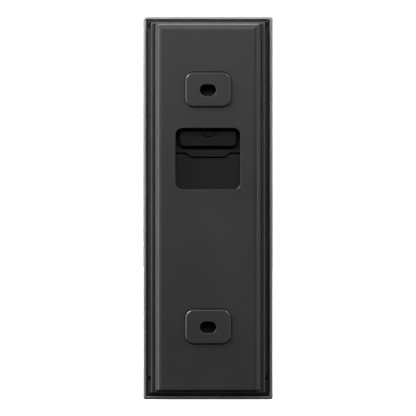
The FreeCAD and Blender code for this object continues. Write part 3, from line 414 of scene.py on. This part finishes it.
# ---- small parts that only the picture needs --------------------------------------
def blocks(name, sizes, material, body, round_mm=0.03):
    """Small rounded blocks as one piece. Each is its middle and its full size, in millimetres."""
    verts, faces = [], []
    for middle, size in sizes:
        first = len(verts)
        for corner in range(8):
            signs = (corner & 1, corner >> 1 & 1, corner >> 2 & 1)
            verts.append(tuple((m + (s - 0.5) * w) * MM for m, s, w in zip(middle, signs, size)))
        quads = ((0, 2, 3, 1), (4, 5, 7, 6), (0, 1, 5, 4), (2, 6, 7, 3), (0, 4, 6, 2), (1, 3, 7, 5))
        faces += [tuple(first + i for i in quad) for quad in quads]
    me = bpy.data.meshes.new(name)
    me.from_pydata(verts, [], faces)
    piece = bpy.data.objects.new(name, me)
    scene.collection.objects.link(piece)
    me.materials.append(material)
    edge = piece.modifiers.new("edge", "BEVEL")
    edge.width, edge.segments = round_mm * MM, 2
    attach(piece, body)


def usb_contacts():
    """Gold strips on both faces of the port's tongue."""
    x, y, z = TONGUE_MIDDLE
    strips = []
    for side in (-1, 1):
        for k in range(12):
            strips.append(((x + (k - 5.5) * 0.5, y, z + side * 0.36), (0.26, 4.2, 0.04)))
    blocks("usb_contacts", strips, GOLD, "doorbell", 0.01)


def board_parts():
    """Chips and rows of small parts on the main board's rear face, clear of the cans and sockets."""
    places = ((-8.5, 21.0, 6.0, 6.0), (10.5, 29.5, 4.2, 4.2), (9.5, 40.5, 5.0, 3.2), (-12.5, 9.0, 3.4, 4.6))
    chips = [((x, BOARD_REAR + 0.45, z), (w, 0.9, h)) for x, z, w, h in places]
    blocks("board_chips", chips, CHIP, "doorbell", 0.06)
    small, caps = [], []
    for row in range(7):
        for k in range(4):
            spot = (-15.2 + k * 2.1, BOARD_REAR + 0.25, 26.0 + row * 1.05)
            (small if (row + k) % 3 else caps).append((spot, (1.0, 0.5, 0.5)))
        spot = (14.6, BOARD_REAR + 0.3, 36.0 - row * 1.3 + (0.3 if row > 3 else 0.0))
        caps.append((spot, (1.2, 0.6, 0.65)))
        small.append(((-4.2 + row * 1.1, BOARD_REAR + 0.2, 50.2), (0.5, 0.4, 1.0)))
    blocks("board_resistors", small, CHIP, "doorbell")
    blocks("board_capacitors", caps, NYLON, "doorbell")


usb_contacts()
board_parts()


# ---- stage, light and camera ------------------------------------------------------
def stage_floor():
    """Pale floor under the object. It neither lights nor shades it."""
    half, z = FLOOR_HALF, cad_box[0].z
    corners = [(-half, -half, z), (half, -half, z), (half, half, z), (-half, half, z)]
    me = bpy.data.meshes.new("floor")
    me.from_pydata(corners, [], [(0, 1, 2, 3)])
    floor = bpy.data.objects.new("floor", me)
    scene.collection.objects.link(floor)
    look = Look("floor_pale")
    tone = look.ranged(look.noise(60, 4, 0.6), 0.3, 0.7)
    pale = look.mix(tone, (0.88, 0.88, 0.88), (0.92, 0.92, 0.92))
    look.set(Base_Color=pale, Roughness=0.8, Emission_Color=pale, Emission_Strength=1.3)
    me.materials.append(look.mat)
    floor.visible_diffuse = False
    floor.visible_glossy = False
    floor.visible_shadow = False


def softbox(name, place, size, power):
    """A soft rectangular lamp aimed at the origin."""
    data = bpy.data.lights.new(name, "AREA")
    data.shape = "RECTANGLE"
    data.size, data.size_y = size
    data.energy = power
    lamp = bpy.data.objects.new(name, data)
    lamp.location = place
    lamp.rotation_mode = "QUATERNION"
    lamp.rotation_quaternion = (-Vector(place)).to_track_quat("-Z", "Y")
    scene.collection.objects.link(lamp)


def backdrop():
    """White to the camera. What lights the object is dimmer, and fades from above to below."""
    world = bpy.data.worlds.new("studio")
    scene.world = world
    world.use_nodes = True
    tree = world.node_tree
    tree.nodes.clear()
    out = tree.nodes.new("ShaderNodeOutputWorld")
    pick = tree.nodes.new("ShaderNodeMixShader")
    path = tree.nodes.new("ShaderNodeLightPath")
    seen, lit = tree.nodes.new("ShaderNodeBackground"), tree.nodes.new("ShaderNodeBackground")
    seen.inputs["Strength"].default_value = 1.15
    seen.inputs["Color"].default_value = (1, 1, 1, 1)
    where = tree.nodes.new("ShaderNodeTexCoord")
    split = tree.nodes.new("ShaderNodeSeparateXYZ")
    fade = tree.nodes.new("ShaderNodeValToRGB")
    tree.links.new(where.outputs["Generated"], split.inputs[0])
    shift = tree.nodes.new("ShaderNodeMath")
    shift.operation = "MULTIPLY_ADD"
    shift.inputs[1].default_value, shift.inputs[2].default_value = 0.5, 0.5
    tree.links.new(split.outputs["Z"], shift.inputs[0])
    tree.links.new(shift.outputs[0], fade.inputs[0])
    ramp = fade.color_ramp
    ramp.elements[0].position, ramp.elements[0].color = 0.3, (0.012, 0.012, 0.012, 1)
    ramp.elements[1].position, ramp.elements[1].color = 1.0, (0.03, 0.03, 0.03, 1)
    tree.links.new(fade.outputs[0], lit.inputs["Color"])
    lit.inputs["Strength"].default_value = 1.0
    tree.links.new(path.outputs["Is Camera Ray"], pick.inputs[0])
    tree.links.new(lit.outputs[0], pick.inputs[1])
    tree.links.new(seen.outputs[0], pick.inputs[2])
    tree.links.new(pick.outputs[0], out.inputs[0])


def camera():
    """Looks straight at the back, level with the object's middle."""
    data = bpy.data.cameras.new("camera")
    data.lens, data.sensor_width = CAMERA_LENS, 36
    cam = bpy.data.objects.new("camera", data)
    cam.location = (0, CAMERA_Y, (cad_box[0].z + cad_box[1].z) / 2)
    cam.rotation_euler = (math.pi / 2, 0, math.pi)
    scene.collection.objects.link(cam)
    scene.camera = cam


TALL, WIDE, SQUARE = (0.18, 0.7), (0.7, 0.18), (0.3, 0.3)
LIGHTS = (
    ("left_low", (0.946, 0.083, 0.03), TALL, 3.8),
    ("right_low", (-0.946, 0.083, 0.03), TALL, 1.3),
    ("key_upper_left", (0.66, 0.165, 0.66), SQUARE, 12.2),
    ("upper_right", (-0.66, 0.165, 0.66), SQUARE, 3.7),
    ("raised_left", (0.58, 0.475, 0.58), SQUARE, 0.8),
    ("raised_right", (-0.58, 0.475, 0.58), SQUARE, 0.6),
    ("overhead", (0, 0.728, 0.61), WIDE, 1.4),
    ("over_camera", (0, 0.88, 0.36), WIDE, 1.1),
    ("below", (0, 0.545, -0.778), WIDE, 0.25),
    ("far_left", (0.8, -0.3, 0.1), (0.3, 0.8), 0.5),
    ("far_right", (-0.8, -0.3, 0.1), (0.3, 0.8), 1.3),
    ("far_top", (0, -0.3, 0.8), (0.8, 0.3), 4.4),
    ("street_side", (-0.55, -0.95, 0.4), (0.8, 0.8), 11),
    ("street_front", (0.35, -1.1, 0.35), (0.8, 0.9), 6),
)

scene.view_settings.view_transform = "Standard"
stage_floor()
backdrop()
for light in LIGHTS:
    softbox(*light)
camera()
